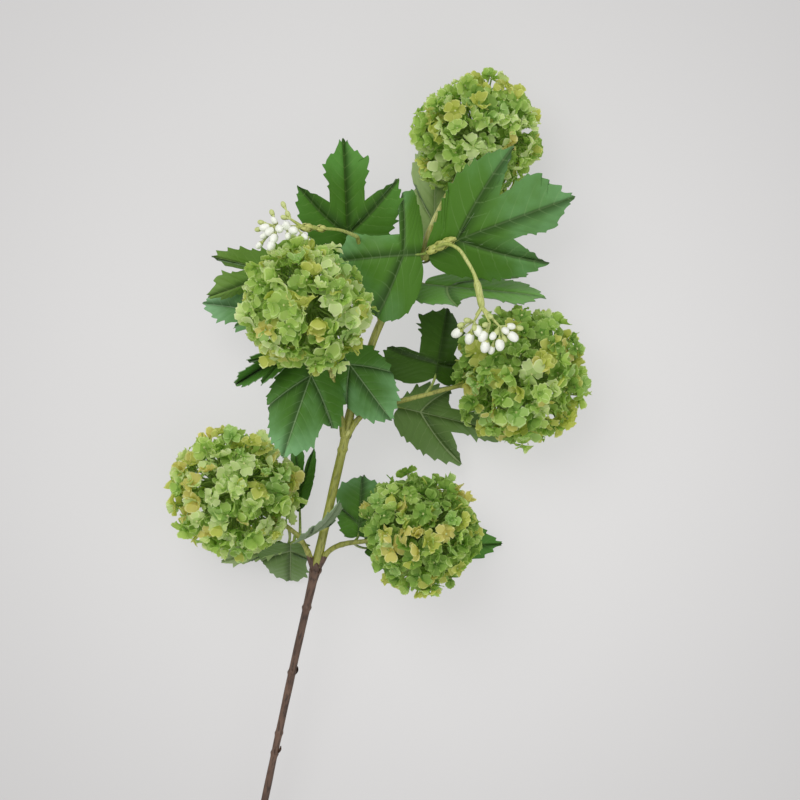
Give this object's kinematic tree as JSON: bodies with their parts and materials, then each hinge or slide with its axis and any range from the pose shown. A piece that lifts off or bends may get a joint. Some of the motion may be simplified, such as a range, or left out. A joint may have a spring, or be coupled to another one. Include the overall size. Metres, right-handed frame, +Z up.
{
  "type": "artificial snowball viburnum spray",
  "caption": "Artificial cut spray lying flat: ball-shaped green blooms, lobed leaves and white bud clusters on a forked stem.",
  "frame": {"origin": "on the surface it lies on, under the middle of the spray's outline", "axes": "+Y along the stem from its cut end to the top bloom, +X to the right of the stem seen from above, +Z up"},
  "size_m": [0.2162, 0.6126, 0.1323],
  "materials": {
    "brown_stem": "matt moulded bark",
    "green_stem": "satin moulded skin over wire",
    "leaves": "printed satin cloth, pressed veins",
    "petals": "thin dyed cloth",
    "buds": "satin moulded buds on green stalks"
  },
  "bodies": {
    "root": {"lower_stem": "brown_stem", "upper_stem": "green_stem", "stalk_lower_left": "green_stem", "stalk_lower_right": "green_stem", "stalk_right": "green_stem", "stalk_front": "green_stem", "side_branch_left": "green_stem", "bud_spray_right": "buds", "bud_spray_left": "buds", "leaf_upper_left": "leaves", "leaf_top_right": "leaves", "leaf_top_middle": "leaves", "leaf_top_behind": "leaves", "leaf_right_edgewise": "leaves", "leaf_right_upper": "leaves", "leaf_right_lower": "leaves", "leaf_left_upper": "leaves", "leaf_left_lower": "leaves", "leaf_left_folded": "leaves", "leaf_front_large": "leaves", "leaf_front_small": "leaves", "leaf_low_left_upper": "leaves", "leaf_low_left_lower": "leaves", "leaf_low_left_narrow": "leaves", "leaf_low_right_upper": "leaves", "leaf_low_right_under": "leaves", "leaf_low_left_under": "leaves", "bloom_front": "petals", "bloom_lower_left": "petals", "bloom_lower_right": "petals", "bloom_right": "petals", "bloom_top": "petals"}
  },
  "joints": []
}
